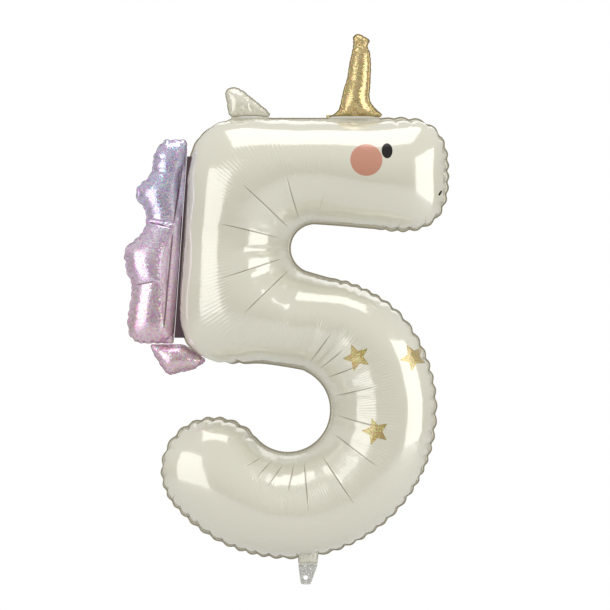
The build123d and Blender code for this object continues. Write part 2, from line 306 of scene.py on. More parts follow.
def blowUp(spec, outline, layOut, creaseLines):
    # returns the front half of a chamber: points, faces, crease index lists and the values for its material
    rim, stations, total = evenLoop(outline, spec["mesh"])
    if spec.get("outlineIsWeld"):
        rim, stations, total = evenLoop(rim - loopNormals(rim) * spec["margin"], spec["mesh"])
    bend = loopBend(rim, spec["mesh"])
    seam, grooves, phase, scallop = puckers(rim, stations, total, bend, spec)
    lines = []
    for start, end, depth in creaseLines:
        start, end = np.array(start), np.array(end)
        count = max(3, int(round(np.linalg.norm(end - start) / spec["mesh"])) + 1)
        share = np.linspace(0, 1, count)
        side = np.array([-(end - start)[1], (end - start)[0]])
        sway = 0.02 * np.sin(share * np.pi * 1.5 + depth * 4000)
        points = start + (end - start) * share[:, None] + side * sway[:, None]
        lines.append({"points": points, "kind": "crease", "depth": depth, "share": share})
    for k, way, length in grooves:
        count = max(3, int(round(length / spec["mesh"])) + 1)
        share = np.arange(1, count) / (count - 1)
        points = seam[k] + way * (share * length)[:, None]
        lines.append({"points": points, "kind": "groove", "from": k, "share": share})
    place, faces, rimIndex = layMesh(rim, lines, spec["mesh"])
    flat, height, film, fine = layOut(place, rim)
    nearest, seamAway = np.zeros(len(place), int), np.full(len(place), 9.0)
    for k, p in enumerate(rim):
        away = np.hypot(place[:, 0] - p[0], place[:, 1] - p[1])
        nearest, seamAway = np.where(away < seamAway, k, nearest), np.minimum(away, seamAway)
    start = np.stack([place[:, 0], -height, place[:, 1]], 1)
    start[rimIndex] = np.stack([seam[:, 0], np.zeros(len(seam)), seam[:, 1]], 1)
    if faceNormals(start, faces)[:, 1].sum() > 0:
        faces = faces[:, ::-1]
    held = np.zeros(len(start), bool)
    held[rimIndex] = True
    for line in lines:
        index, share = line["index"], line["share"][-len(line["index"]):]
        if line["kind"] == "crease":
            start[index, 1] += 2.5 * line["depth"] * np.sin(share * np.pi)
        else:
            start[index, 1] *= 1 - 0.5 * (1 - share)
    start = inflateFilm(start, flat, faces, held, spec, spec["steps"])
    # the folds are pressed into the full chamber, and the film settles round them
    normal = faceNormals(start, faces)
    outward = np.zeros_like(start)
    for corner in range(3):
        for axis in range(3):
            outward[:, axis] += np.bincount(faces[:, corner], normal[:, axis], len(start))
    outward /= np.linalg.norm(outward, axis=1)[:, None]
    for line in lines:
        index, share = line["index"], line["share"][-len(line["index"]):]
        if line["kind"] == "crease":
            dent = line["depth"] * np.clip(share / 0.2, 0, 1) * np.clip((1 - share) / 0.6, 0, 1) ** 0.7
        else:
            dent = spec["grooveDepth"] * np.clip(share / 0.3, 0, 1) ** 0.7 * np.clip((1 - share) / 0.7, 0, 1)
        start[index] -= outward[index] * dent[:, None]
        held[index] = True
    start = inflateFilm(start, flat, faces, held, dict(spec, noise=0.0), spec["settle"])
    rimNormal = loopNormals(rim)
    creases = [line["index"].tolist() for line in lines]
    count = len(start)
    start, faces = weldRing(start, rimIndex, faces, spec["margin"], rimNormal)
    for *way, limit in spec.get("folded", []):  # beyond its fold the film leaves room to swing
        past = start[:, [0, 2]] @ np.array(way) - limit
        room = np.maximum((np.abs(start[:, 1]) - 0.0015) / 0.5, -0.0002)
        start[:, [0, 2]] -= np.outer(np.maximum(past - room, 0), way)
    extra = len(start) - count
    ring = np.stack([np.tile(phase, 2), np.repeat([-0.5, -1.0], len(rim)) * spec["margin"]], 1)
    weld = np.concatenate([np.zeros(count), np.ones(extra)])
    weld[rimIndex] = 0.3
    values = {
        "film": np.vstack([film, np.tile(film[rimIndex], (2, 1))]),
        "seam": np.vstack([np.stack([phase[nearest], seamAway], 1), ring]),
        "scallop": np.concatenate([scallop[nearest], np.tile(scallop, 2)]),
        "fine": np.concatenate([fine, np.zeros(extra)]), "weld": weld,
    }
    return start, faces, creases, values


def makeChamber(name, spec, outline, layOut, creaseLines, body, materials, replaced):
    place, faces, creases, values = blowUp(spec, outline, layOut, creaseLines)
    mirrored = place * np.array([1, -1, 1])
    pieces = []
    for side, points, order in (("Front", place, 1), ("Back", mirrored, -1)):
        piece = buildPanel(name + side, points, [tuple(face)[::order] for face in faces], creases, values)
        piece.data.materials.append(materials[0 if order == 1 else -1])
        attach(piece, body)
        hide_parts(f"{replaced}_{side.lower()}_panel")
        pieces.append(piece)
    report(f"{name}: {len(pieces[0].data.polygons)} faces a side")
    return pieces


# numeral body

numeral = {
    "muzzleTip": 0.2455, "muzzleLength": 0.084, "muzzlePower": 2.7, "barTop": 0.8015, "barLow": 0.6115,
    "barRise": 0.012, "notch": (0.016, 0.577), "notchRadius": 0.0465, "notchSweep": 160.0,
    "stemLeft": -0.2135, "stemLow": 0.3785, "lean": 0.07, "cornerPowers": (6.5, 5.2),
    "bowl": (-0.031, 0.294), "holeRadius": 0.078, "outerRadius": 0.2555, "shoulderDip": 0.017,
    "shoulderAngle": 40.0, "startAngle": 74.0, "endAngle": -140.0, "tailLength": 0.090,
    "plumpness": 0.405, "widest": 0.215, "endTurns": (12, 24, 35, 45, 54, 62, 69, 75, 80, 84, 87),
    "restTurn": 0.985, "restInner": 1.0, "restAcross": (0.90, 0.84), "restEnd": 1.2,
    "mesh": 0.0042, "margin": 0.0044, "scallopLength": 0.0235, "scallopDepth": 0.0052, "calm": [(-1, 0, 0.14), (0, 1, 0.34)],
    "grooveLength": 0.032, "grooveDepth": 0.0030, "convexBend": 3.2, "leastScallop": 0.0,
    "pressure": 1.5e-5, "crush": 0.35, "stiffness": 0.14, "drag": 0.93, "steps": 320, "settle": 40, "noise": 0.0002, "seed": 5,
}

# folds that fan out from the inside of each bend: inner end, outer end and depth
notchFolds = [
    ((-0.0112, 0.6251), (-0.0359, 0.7081), 0.0019), ((-0.0292, 0.6122), (-0.1108, 0.6876), 0.0024),
    ((-0.0459, 0.5948), (-0.1498, 0.6186), 0.0024), ((-0.0408, 0.5588), (-0.1474, 0.5224), 0.0024),
    ((-0.0278, 0.5404), (-0.1089, 0.4608), 0.0024), ((0.0234, 0.6405), (0.0311, 0.6738), 0.0008),
]
bowlFolds = [
    ((0.0068, 0.3768), (0.0466, 0.4311), 0.0020), ((0.0234, 0.3653), (0.0671, 0.4015), 0.0019),
    ((0.0376, 0.3511), (0.0927, 0.3723), 0.0020), ((0.0506, 0.3187), (0.1227, 0.3372), 0.0020),
    ((0.0536, 0.2853), (0.1420, 0.2620), 0.0020), ((0.0490, 0.2534), (0.1260, 0.1965), 0.0023),
    ((0.0285, 0.2150), (0.0840, 0.1330), 0.0024), ((-0.0030, 0.2050), (0.0054, 0.1146), 0.0023),
    ((-0.0198, 0.2033), (-0.0315, 0.1498), 0.0019), ((-0.0397, 0.2000), (-0.0700, 0.1580), 0.0019),
    ((-0.0583, 0.2070), (-0.0884, 0.1760), 0.0016), ((-0.0716, 0.2140), (-0.1050, 0.1980), 0.0014),
]


def stemEdge(degrees):
    n = numeral
    centreX, centreZ = n["notch"]
    along = n["barTop"] - centreZ if degrees <= 180 else centreZ - n["stemLow"]
    power = n["cornerPowers"][0 if degrees <= 180 else 1]
    c = abs(math.cos(math.radians(degrees))) / (centreX - n["stemLeft"])
    s = abs(math.sin(math.radians(degrees))) / along
    edge = polar(n["notch"], (c**power + s**power) ** (-1 / power), degrees)
    edge[0] += n["lean"] * (edge[1] - centreZ)
    return edge


def roundedEnd(a, b, direction, length, power, crown):
    rows = []
    for turn in numeral["endTurns"]:
        shrink = math.cos(math.radians(turn)) ** (2 / power)
        middle = (a + b) / 2 + np.array(direction) * length * math.sin(math.radians(turn)) ** (2 / power)
        rows.append([*(middle - (b - a) / 2 * shrink), *(middle + (b - a) / 2 * shrink),
                     crown * math.cos(math.radians(turn)), 1])
    return rows


def numeralSections():
    # rows of two edge points, a crown and a mark for the rounded ends, from the muzzle to the tail
    n = numeral

    def row(a, b):
        return [*a, *b, n["plumpness"] * min(np.linalg.norm(b - a), n["widest"]), 0]

    base = n["muzzleTip"] - n["muzzleLength"]
    head = []
    for share in (0, 0.25, 0.5, 0.75):
        x = base + (n["notch"][0] + 0.01 - base) * share
        head.append(row(np.array([x, n["barTop"]]), np.array([x, n["barLow"] + n["barRise"] * share])))
    first = np.array(head[0])
    muzzle = roundedEnd(first[:2], first[2:4], (1, 0), n["muzzleLength"], n["muzzlePower"], first[4])
    turn = [row(stemEdge(d), polar(n["notch"], n["notchRadius"], d))
            for d in np.linspace(90, 90 + n["notchSweep"], 17)]
    bowl = []
    for d in np.linspace(n["startAngle"], n["endAngle"], 22):
        dip = max(0, (d - n["shoulderAngle"]) / (n["startAngle"] - n["shoulderAngle"])) * n["shoulderDip"]
        bowl.append(row(polar(n["bowl"], n["holeRadius"], d), polar(n["bowl"], n["outerRadius"] - dip, d)))
    last, end = np.array(bowl[-1]), math.radians(n["endAngle"])
    ahead = (math.sin(end), -math.cos(end))
    tail = roundedEnd(last[:2], last[2:4], ahead, n["tailLength"], 2.0, last[4])
    return smoothRows(muzzle[::-1] + head + turn + bowl + tail, 8)


def flatPattern(rows):
    # the two long edges of the flat film that these sections are blown up from
    n = numeral
    a, b, crown, rounded = rows[:, :2], rows[:, 2:4], rows[:, 4], rows[:, 5] > 0.5
    width = np.linalg.norm(b - a, axis=1)
    radius = (width**2 / 4 + crown**2) / (2 * crown)
    cut = 4 * radius * np.arctan(2 * crown / width) * np.interp(width, [0.2, 0.27], n["restAcross"])
    way = (b - a) / width[:, None]
    angle = np.unwrap(np.arctan2(way[:, 1], way[:, 0]))
    turned = angle[0]
    flatA, flatB = [np.zeros(2)], [cut[0] * way[0]]

    def axes(at):
        return np.array([math.cos(at), math.sin(at)]), np.array([-math.sin(at), math.cos(at)])

    for i in range(len(a) - 1):
        step = angle[i + 1] - angle[i]
        across, along = axes((angle[i] + angle[i + 1]) / 2)
        flatAcross, flatAlong = axes(turned + n["restTurn"] * step / 2)
        turned += n["restTurn"] * step
        nextAcross = axes(turned)[0]
        stepA, stepB = a[i + 1] - a[i], b[i + 1] - b[i]
        if rounded[i]:
            middle = (stepA + stepB) / 2
            middle = (flatA[-1] + flatB[-1]) / 2 + flatAcross * (middle @ across) + flatAlong * (
                middle @ along) * n["restEnd"]
            flatA.append(middle - nextAcross * cut[i + 1] / 2)
            flatB.append(middle + nextAcross * cut[i + 1] / 2)
        elif abs(stepA @ along) < abs(stepB @ along):
            flatA.append(flatA[-1] + flatAcross * (stepA @ across) + flatAlong * (stepA @ along) * n["restInner"])
            flatB.append(flatA[-1] + nextAcross * cut[i + 1])
        else:
            flatB.append(flatB[-1] + flatAcross * (stepB @ across) + flatAlong * (stepB @ along) * n["restInner"])
            flatA.append(flatB[-1] - nextAcross * cut[i + 1])
    return np.array(flatA), np.array(flatB)


def layNumeral(place, rim):
    # for each point: its place in the flat pattern, its height, and how far along and across the stroke it is
    rows = numeralSections()
    flatA, flatB = flatPattern(rows)
    a, b, crown = rows[:, :2], rows[:, 2:4], rows[:, 4]
    middle = (a + b) / 2
    run = np.concatenate([[0], np.cumsum(np.linalg.norm(np.diff(middle, axis=0), axis=1))])
    flat, height, film = np.zeros((len(place), 3)), np.zeros(len(place)), np.zeros((len(place), 2))
    best = np.full(len(place), 9.0)
    for i in range(len(a) - 1):
        ways = (b[i] - a[i], b[i + 1] - a[i + 1])
        away = [(place - p) @ np.array([-w[1], w[0]]) / np.linalg.norm(w) for p, w in zip((a[i], a[i + 1]), ways)]
        gap = away[0] - away[1]
        share = away[0] / np.where(np.abs(gap) < 1e-9, 1e-9, gap)
        near = np.flatnonzero((share >= -0.03) & (share <= 1.03))
        s = np.clip(share[near], 0, 1)[:, None]
        pa, pb = a[i] * (1 - s) + a[i + 1] * s, b[i] * (1 - s) + b[i + 1] * s
        width = np.linalg.norm(pb - pa, axis=1)
        t = ((place[near] - pa) * (pb - pa)).sum(1) / width**2
        miss = np.abs(t - 0.5) - 0.5
        take = (miss < best[near] - 1e-9) & (miss < 0.08)
        near, s, t, width = near[take], s[take], np.clip(t[take], 0, 1), width[take]
        best[near] = miss[take]
        top = crown[i] * (1 - s[:, 0]) + crown[i + 1] * s[:, 0]
        radius = (width**2 / 4 + top**2) / (2 * top)
        x = (t - 0.5) * width
        height[near] = np.sqrt(np.maximum(radius**2 - x**2, 0)) - (radius - top)
        half = np.arcsin(np.clip(width / 2 / radius, -1, 1))
        arc = ((np.arcsin(np.clip(x / radius, -1, 1)) + half) / (2 * half))[:, None]
        fa, fb = flatA[i] * (1 - s) + flatA[i + 1] * s, flatB[i] * (1 - s) + flatB[i + 1] * s
        flat[near[:, None], [0, 2]] = fa * (1 - arc) + fb * arc
        film[near, 0] = run[i] * (1 - s[:, 0]) + run[i + 1] * s[:, 0]
        film[near, 1] = t
    lost = best > 1
    for k in np.flatnonzero(lost):
        closest = np.argmin(np.where(lost, 9, np.linalg.norm(place - place[k], axis=1)))
        flat[k], height[k], film[k] = flat[closest], height[closest] * 0.6, film[closest]
        flat[k, [0, 2]] += place[k] - place[closest]
    # fine radial wrinkles lie between the folds, towards the outside of each bend
    u, t = film[:, 0], film[:, 1]
    marks = np.flatnonzero(rows[:, 5] < 0.5)
    notchRun, bowlRun, endRun = run[marks[0]] + 0.12, run[marks[0]] + 0.36, run[marks[-1]]
    notchFine = np.interp(u, [notchRun, notchRun + 0.05, bowlRun - 0.06, bowlRun], [0, 1, 1, 0])
    notchFine *= np.interp(t, [0.30, 0.38, 0.60, 0.70], [0, 1, 1, 0])
    bowlFine = np.interp(u, [bowlRun, bowlRun + 0.08, endRun - 0.1, endRun], [0, 1, 1, 0])
    bowlFine *= np.interp(t, [0.18, 0.27, 0.50, 0.60], [0, 1, 1, 0])
    return flat, height, film, np.maximum(notchFine, bowlFine)


def layPillow(spec):
    # a small chamber: its film is its outline enlarged, and it starts as a pillow
    def layOut(place, rim):
        away = np.full(len(place), 9.0)
        for p in rim:
            away = np.minimum(away, np.hypot(place[:, 0] - p[0], place[:, 1] - p[1]))
        deep = min(away.max(), spec["widest"])
        near = np.minimum(away, deep)
        height = spec["plump"] * np.sqrt(near * (2 * deep - near))
        flat = np.zeros((len(place), 3))
        flat[:, 0], flat[:, 2] = place[:, 0] * spec["slack"][0], place[:, 1] * spec["slack"][1]
        return flat, height, place.copy(), np.zeros(len(place))
    return layOut


# shader parts

def link(tree, value, socket):
    if isinstance(value, bpy.types.NodeSocket):
        tree.links.new(value, socket)
    elif value is not None:
        socket.default_value = value


def calc(tree, operation, *values):
    node = tree.nodes.new("ShaderNodeMath")
    node.operation = operation
    for value, socket in zip(values, node.inputs):
        link(tree, value, socket)
    return node.outputs[0]


def smoothStep(tree, value, low, high):
    node = tree.nodes.new("ShaderNodeMapRange")
    node.interpolation_type = "SMOOTHSTEP"
    link(tree, value, node.inputs["Value"])
    link(tree, low, node.inputs["From Min"])
    link(tree, high, node.inputs["From Max"])
    return node.outputs["Result"]


def noise(tree, vector, scale, detail=2.0, output="Fac"):
    node = tree.nodes.new("ShaderNodeTexNoise")
    link(tree, vector, node.inputs["Vector"])
    link(tree, scale, node.inputs["Scale"])
    node.inputs["Detail"].default_value = detail
    return node.outputs[output]


def combine(tree, x=0.0, y=0.0, z=0.0):
    node = tree.nodes.new("ShaderNodeCombineXYZ")
    for value, socket in zip((x, y, z), node.inputs):
        link(tree, value, socket)
    return node.outputs[0]


def split(tree, vector):
    node = tree.nodes.new("ShaderNodeSeparateXYZ")
    link(tree, vector, node.inputs[0])
    return node.outputs


def mixColour(tree, share, first, second, blend="MIX"):
    node = tree.nodes.new("ShaderNodeMix")
    node.data_type = "RGBA"
    node.blend_type = blend
    link(tree, share, node.inputs[0])
    link(tree, first, node.inputs[6])
    link(tree, second, node.inputs[7])
    return node.outputs[2]


def newGroup(name, inputs, outputs):
    group = bpy.data.node_groups.new(name, "ShaderNodeTree")
    for label, kind in inputs:
        group.interface.new_socket(name=label, in_out="INPUT", socket_type="NodeSocket" + kind)
    for label, kind in outputs:
        group.interface.new_socket(name=label, in_out="OUTPUT", socket_type="NodeSocket" + kind)
    return group, group.nodes.new("NodeGroupInput"), group.nodes.new("NodeGroupOutput")


def useGroup(tree, group, **inputs):
    node = tree.nodes.new("ShaderNodeGroup")
    node.node_tree = group
    for label, value in inputs.items():
        link(tree, value, node.inputs[label])
    return node.outputs


def uvMap(tree, name):
    node = tree.nodes.new("ShaderNodeUVMap")
    node.uv_map = name
    return node.outputs["UV"]


def pointValue(tree, name):
    node = tree.nodes.new("ShaderNodeAttribute")
    node.attribute_name = name
    return node.outputs["Fac"]


def makeFoilRelief():
    # height of the fine wrinkles: radial ones in the bends, short ones square to each weld, ribs on the weld
    group, taken, given = newGroup(
        "foilRelief", [("Film", "Vector"), ("Seam", "Vector"), ("Fine", "Float"), ("Weld", "Float"), ("Scallop", "Float"),
                       ("Length", "Float"), ("Pitch", "Float")],
        [("Height", "Float"), ("Valley", "Float")])
    along, across, _ = split(group, taken.outputs["Film"])
    wander = noise(group, combine(group, calc(group, "MULTIPLY", along, 30.0), calc(group, "MULTIPLY", across, 1.2)), 1.0)
    radial = calc(group, "ADD", calc(group, "MULTIPLY", along, 1300.0), calc(group, "MULTIPLY", wander, 12.0))
    strength = noise(group, combine(group, calc(group, "MULTIPLY", along, 70.0), calc(group, "MULTIPLY", across, 4.0)), 1.0)
    strength = calc(group, "MULTIPLY", smoothStep(group, strength, 0.25, 0.6), 0.17)
    radial = calc(group, "MULTIPLY", calc(group, "MULTIPLY", calc(group, "SINE", radial), strength), taken.outputs["Fine"])
    phase, away, _ = split(group, taken.outputs["Seam"])
    run = calc(group, "MULTIPLY", phase, taken.outputs["Length"])
    per = calc(group, "DIVIDE", run, taken.outputs["Pitch"])
    # a sharp short valley runs in from the weld between each two scallops
    aside = calc(group, "SUBTRACT", phase, calc(group, "ROUND", phase))
    aside = calc(group, "DIVIDE", calc(group, "MULTIPLY", aside, taken.outputs["Length"]), 0.0010)
    valley = calc(group, "EXPONENT", calc(group, "MULTIPLY", calc(group, "MULTIPLY", aside, aside), -1.0))
    choice = noise(group, combine(group, calc(group, "ROUND", phase), 0.5, 0.5), 3.7, 0.0)
    length = calc(group, "MULTIPLY", taken.outputs["Length"], calc(group, "ADD", calc(group, "MULTIPLY", choice, 2.2), -0.3))
    valley = calc(group, "MULTIPLY", valley, smoothStep(group, away, length, 0.0))
    valley = calc(group, "MULTIPLY", valley, calc(group, "MULTIPLY", taken.outputs["Scallop"], 0.9))
    pucker = noise(group, combine(group, per, calc(group, "MULTIPLY", away, 22.0), 3.0), 1.0, 1.0)
    reach = smoothStep(group, away, calc(group, "MULTIPLY", taken.outputs["Pitch"], 3.2), 0.0)
    pucker = calc(group, "MULTIPLY", calc(group, "SUBTRACT", pucker, 0.5), calc(group, "MULTIPLY", reach, 1.1))
    ribs = calc(group, "SINE", calc(group, "MULTIPLY", per, 9.0))
    ribs = calc(group, "MULTIPLY", ribs, calc(group, "MULTIPLY", taken.outputs["Weld"], 0.12))
    fine = calc(group, "ADD", calc(group, "ADD", radial, pucker), ribs)
    link(group, calc(group, "SUBTRACT", fine, valley), given.inputs["Height"])
    link(group, valley, given.inputs["Valley"])
    return group


def makeSparkle():
    # tiny flakes: each cell leans its own way and has its own hue
    group, taken, given = newGroup(
        "sparkle", [("Vector", "Vector"), ("Scale", "Float"), ("Lean", "Float"), ("Normal", "Vector")],
        [("Normal", "Vector"), ("Hue", "Color"), ("Flake", "Float")])
    cells = group.nodes.new("ShaderNodeTexVoronoi")
    link(group, taken.outputs["Vector"], cells.inputs["Vector"])
    link(group, taken.outputs["Scale"], cells.inputs["Scale"])
    lean = group.nodes.new("ShaderNodeVectorMath")
    lean.operation = "SUBTRACT"
    link(group, cells.outputs["Color"], lean.inputs[0])
    lean.inputs[1].default_value = (0.5, 0.5, 0.5)
    scaled = group.nodes.new("ShaderNodeVectorMath")
    scaled.operation = "SCALE"
    link(group, lean.outputs[0], scaled.inputs[0])
    link(group, taken.outputs["Lean"], scaled.inputs["Scale"])
    total = group.nodes.new("ShaderNodeVectorMath")
    link(group, scaled.outputs[0], total.inputs[0])
    link(group, taken.outputs["Normal"], total.inputs[1])
    unit = group.nodes.new("ShaderNodeVectorMath")
    unit.operation = "NORMALIZE"
    link(group, total.outputs[0], unit.inputs[0])
    link(group, unit.outputs[0], given.inputs["Normal"])
    link(group, cells.outputs["Color"], given.inputs["Hue"])
    link(group, split(group, cells.outputs["Color"])[1], given.inputs["Flake"])
    return group


def makeOval():
    # 1 inside an ellipse in the X and Z of the object, 0 outside
    group, taken, given = newGroup(
        "ovalMask", [("Position", "Vector"), ("Centre", "Vector"), ("Half Width", "Float"), ("Half Height", "Float"),
                     ("Turn", "Float"), ("Power", "Float")], [("Mask", "Float")])
    x, z = turnedPlace(group, taken)
    x = calc(group, "POWER", calc(group, "ABSOLUTE", calc(group, "DIVIDE", x, taken.outputs["Half Width"])), taken.outputs["Power"])
    z = calc(group, "POWER", calc(group, "ABSOLUTE", calc(group, "DIVIDE", z, taken.outputs["Half Height"])), taken.outputs["Power"])
    link(group, smoothStep(group, calc(group, "ADD", x, z), 1.06, 0.94), given.inputs["Mask"])
    return group


def turnedPlace(group, taken):
    # X and Z from the centre, turned
    px, _, pz = split(group, taken.outputs["Position"])
    cx, _, cz = split(group, taken.outputs["Centre"])
    x, z = calc(group, "SUBTRACT", px, cx), calc(group, "SUBTRACT", pz, cz)
    c, s = calc(group, "COSINE", taken.outputs["Turn"]), calc(group, "SINE", taken.outputs["Turn"])
    return (calc(group, "ADD", calc(group, "MULTIPLY", x, c), calc(group, "MULTIPLY", z, s)),
            calc(group, "SUBTRACT", calc(group, "MULTIPLY", z, c), calc(group, "MULTIPLY", x, s)))


def makeStar(inner=0.47):
    # 1 inside a five-pointed star with slightly blunt points
    group, taken, given = newGroup(
        "starMask", [("Position", "Vector"), ("Centre", "Vector"), ("Radius", "Float"), ("Turn", "Float")], [("Mask", "Float")])
    x, z = turnedPlace(group, taken)
    size = calc(group, "SQRT", calc(group, "ADD", calc(group, "MULTIPLY", x, x), calc(group, "MULTIPLY", z, z)))
    fifth = math.pi / 5
    angle = calc(group, "ADD", calc(group, "ARCTAN2", x, z), 10 * fifth + fifth)
    angle = calc(group, "ABSOLUTE", calc(group, "SUBTRACT", calc(group, "MODULO", angle, 2 * fifth), fifth))
    along = calc(group, "MULTIPLY", size, calc(group, "COSINE", angle))
    aside = calc(group, "MULTIPLY", size, calc(group, "SINE", angle))
    tip, dip = Vector((1, 0)), Vector((inner * math.cos(fifth), inner * math.sin(fifth)))
    out = Vector(((dip - tip).y, -(dip - tip).x)).normalized()
    if out.dot(tip) < 0:
        out = -out
    over = calc(group, "ADD", calc(group, "MULTIPLY", along, out.x), calc(group, "MULTIPLY", aside, out.y))
    over = calc(group, "DIVIDE", over, taken.outputs["Radius"])
    star = smoothStep(group, over, out.x + 0.02, out.x - 0.02)
    blunt = smoothStep(group, calc(group, "DIVIDE", along, taken.outputs["Radius"]), 0.97, 0.93)
    link(group, calc(group, "MULTIPLY", star, blunt), given.inputs["Mask"])
    return group


def vectorCalc(tree, operation, *values):
    node = tree.nodes.new("ShaderNodeVectorMath")
    node.operation = operation
    for value, socket in zip(values, node.inputs):
        link(tree, value, socket)
    return node.outputs["Value"] if operation in ("DOT_PRODUCT", "LENGTH") else node.outputs[0]


def makeFoldLine(width=0.0010):
    # a narrow valley along a line in the X and Z of the object, shallower at both ends
    group, taken, given = newGroup(
        "foldLine", [("Position", "Vector"), ("Start", "Vector"), ("End", "Vector"), ("Depth", "Float")], [("Valley", "Float")])
    place = vectorCalc(group, "MULTIPLY", vectorCalc(group, "SUBTRACT", taken.outputs["Position"], taken.outputs["Start"]), (1, 0, 1))
    way = vectorCalc(group, "SUBTRACT", taken.outputs["End"], taken.outputs["Start"])
    share = calc(group, "DIVIDE", vectorCalc(group, "DOT_PRODUCT", place, way), vectorCalc(group, "DOT_PRODUCT", way, way))
    share = calc(group, "MINIMUM", calc(group, "MAXIMUM", share, 0.0), 1.0)
    nearest = group.nodes.new("ShaderNodeVectorMath")
    nearest.operation = "SCALE"
    link(group, way, nearest.inputs[0])
    link(group, share, nearest.inputs["Scale"])
    away = calc(group, "DIVIDE", vectorCalc(group, "LENGTH", vectorCalc(group, "SUBTRACT", place, nearest.outputs[0])), width)
    valley = calc(group, "EXPONENT", calc(group, "MULTIPLY", calc(group, "MULTIPLY", away, away), -1.0))
    fade = calc(group, "MULTIPLY", calc(group, "MULTIPLY", share, calc(group, "SUBTRACT", 1.0, share)), 4.0)
    fade = calc(group, "POWER", fade, 0.6)
    deep = calc(group, "MULTIPLY", calc(group, "MULTIPLY", valley, fade), taken.outputs["Depth"])
    link(group, deep, given.inputs["Valley"])
    return group


foilRelief, sparkle, ovalMask, starMask, foldLine = makeFoilRelief(), makeSparkle(), makeOval(), makeStar(), makeFoldLine()


def newMaterial(name, **settings):
    material = bpy.data.materials.new(name)
    material.use_nodes = True
    shader = material.node_tree.nodes["Principled BSDF"]
    for label, value in settings.items():
        shader.inputs[label.replace("_", " ")].default_value = value
    return material, material.node_tree, shader


def addRelief(tree, shader, length, pitch, strength, folds=()):
    # bump of the fine wrinkles on a chamber and the sharp lines of its folds, in millimetres; it also returns the
    # valley mask along which shade is painted into the creases
    relief = useGroup(tree, foilRelief, Film=uvMap(tree, "film"), Seam=uvMap(tree, "seam"),
                      Fine=pointValue(tree, "fine"), Weld=pointValue(tree, "weld"), Scallop=pointValue(tree, "scallop"),
                      Length=length, Pitch=pitch)
    bump = tree.nodes.new("ShaderNodeBump")
    bump.inputs["Distance"].default_value = 0.001
    bump.inputs["Strength"].default_value = strength
    height, crease = relief["Height"], relief["Valley"]
    place = tree.nodes.new("ShaderNodeTexCoord").outputs["Object"]
    for start, end, depth in folds:
        line = useGroup(tree, foldLine, Position=place, Start=(start[0], 0, start[1]), End=(end[0], 0, end[1]), Depth=depth * 520)
        height = calc(tree, "SUBTRACT", height, line["Valley"])
        crease = calc(tree, "MAXIMUM", crease, line["Valley"])
    link(tree, height, bump.inputs["Height"])
    link(tree, bump.outputs["Normal"], shader.inputs["Normal"])
    return bump.outputs["Normal"], crease


cream = {
    "base": (0.74, 0.725, 0.63, 1), "weld": (0.33, 0.30, 0.21, 1), "metallic": 0.18, "roughness": 0.16,
    "coat": 1.0, "coatRoughness": 0.04, "coatIndex": 1.75,
    # crease is the painted shade colour laid into the fold and scallop valleys
    "crease": (0.34, 0.31, 0.22, 1), "ink": (0.003, 0.003, 0.003, 1), "blush": (0.58, 0.26, 0.18, 1), "star": (0.50, 0.39, 0.14, 1),
    "eye": ((0.141, 0, 0.745), 0.0095, 0.0133), "cheek": ((0.1049, 0, 0.729), 0.0278),
    "nostril": ((0.2347, 0, 0.673), 0.0052, 0.0019, 1.0),
    "stars": (((0.0884, 0, 0.387), 0.40), ((0.187, 0, 0.387), 0.50), ((0.1209, 0, 0.259), 0.28)), "starRadius": 0.0250,
}


